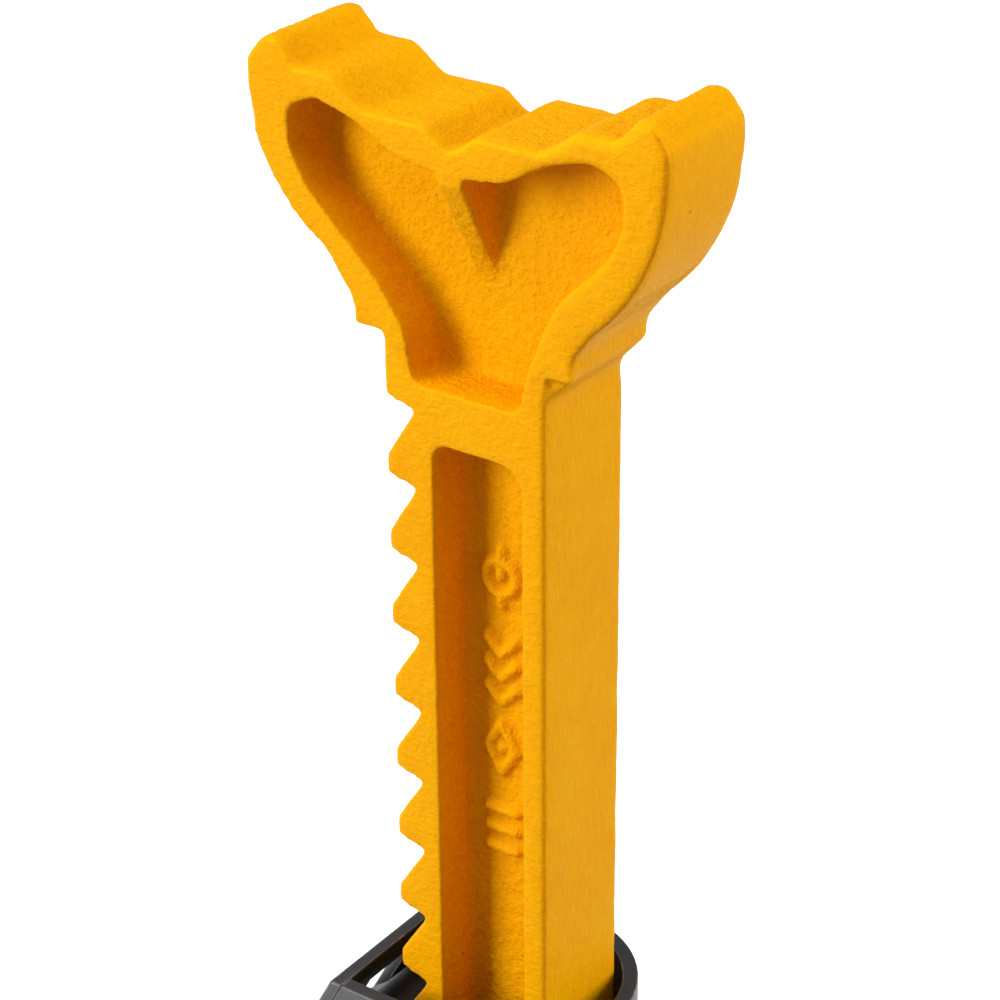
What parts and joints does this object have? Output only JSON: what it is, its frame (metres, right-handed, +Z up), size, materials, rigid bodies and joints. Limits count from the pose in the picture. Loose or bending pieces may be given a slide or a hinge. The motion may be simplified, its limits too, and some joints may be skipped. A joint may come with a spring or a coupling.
{
  "type": "ratchet axle stand",
  "caption": "Ratchet axle stand: toothed cast bar with a forked saddle sliding in a four-legged welded base, held by a lever-operated pawl.",
  "frame": {"origin": "on the floor, under the middle of the saddle (the load axis)", "axes": "+Z up, X across the saddle with the teeth and the lever towards -X, Y through the bar with -Y at the front"},
  "size_m": [0.2132, 0.192, 0.4324],
  "materials": {
    "yellow_paint": "gloss paint over a sand-cast surface",
    "black_paint": "semi-gloss black paint on pressed steel",
    "lever_paint": "black paint on a rough casting",
    "zinc_steel": "zinc plated",
    "spring_steel": "oiled spring steel",
    "grip_vinyl": "dipped vinyl"
  },
  "bodies": {
    "stand": {"guide_tube": "black_paint", "pawl_box_cover": "black_paint", "anvil_block": "black_paint", "upper_guide": "black_paint", "lower_guide": "black_paint", "crown_plate": "black_paint", "pivot_pin": "zinc_steel", "pin_washer": "zinc_steel", "split_pin": "zinc_steel", "pin_spacer_front": "zinc_steel", "pin_spacer_back": "zinc_steel", "leg_front_left": "black_paint", "leg_front_right": "black_paint", "leg_back_left": "black_paint", "leg_back_right": "black_paint", "foot_front_left": "black_paint", "foot_front_right": "black_paint", "foot_back_left": "black_paint", "foot_back_right": "black_paint", "brace_front": "black_paint", "brace_back": "black_paint", "brace_left": "black_paint", "brace_right": "black_paint"},
    "bar": {"ratchet_bar": "yellow_paint", "stop_pin": "spring_steel"},
    "lever": {"pawl": "lever_paint", "lever_arm": "lever_paint", "lever_grip": "grip_vinyl"}
  },
  "joints": [
    {"name": "bar_slide", "type": "slide", "parent": "stand", "child": "bar", "axis": [0, 0, 1], "range_m": [-0.12, 0.003]},
    {"name": "lever_hinge", "type": "hinge", "parent": "stand", "child": "lever", "pos_m": [-0.0222, 0, 0.232], "axis": [0, 1, 0], "range_deg": [-10.9, 18]}
  ]
}
